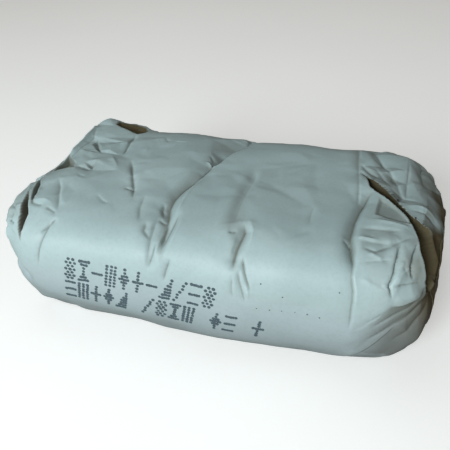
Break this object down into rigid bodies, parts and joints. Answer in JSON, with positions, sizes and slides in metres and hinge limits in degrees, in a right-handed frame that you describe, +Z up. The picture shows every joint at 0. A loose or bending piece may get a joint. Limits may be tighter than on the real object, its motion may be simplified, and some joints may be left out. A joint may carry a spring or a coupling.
{
  "type": "bag of refractory concrete",
  "caption": "Full paper valve sack of dry refractory concrete lying on its large face, with block-bottom ends, crumpled paper folds and a kraft filling sleeve at one rear corner.",
  "frame": {"origin": "middle of the flat underside that the sack rests on", "axes": "+X along the sack's length, towards the end without the valve; +Y across it, away from the printed long side; +Z up"},
  "size_m": [0.4814, 0.2861, 0.1511],
  "materials": {
    "white_kraft_paper": "bleached sack kraft, matt with a slight sheen, creased",
    "patch_paper": "bleached sack kraft cover sheet, glued flat",
    "brown_kraft_paper": "unbleached kraft, matt",
    "dry_castable": "loose grey powder with chamotte grains",
    "printing_ink": "slate inkjet ink soaked into the paper, matt"
  },
  "bodies": {
    "root": {"paper_sack": "white_kraft_paper", "dry_mix": "dry_castable", "valve_sleeve": "brown_kraft_paper", "end_patch_left": "patch_paper", "end_patch_right": "patch_paper"}
  },
  "joints": []
}
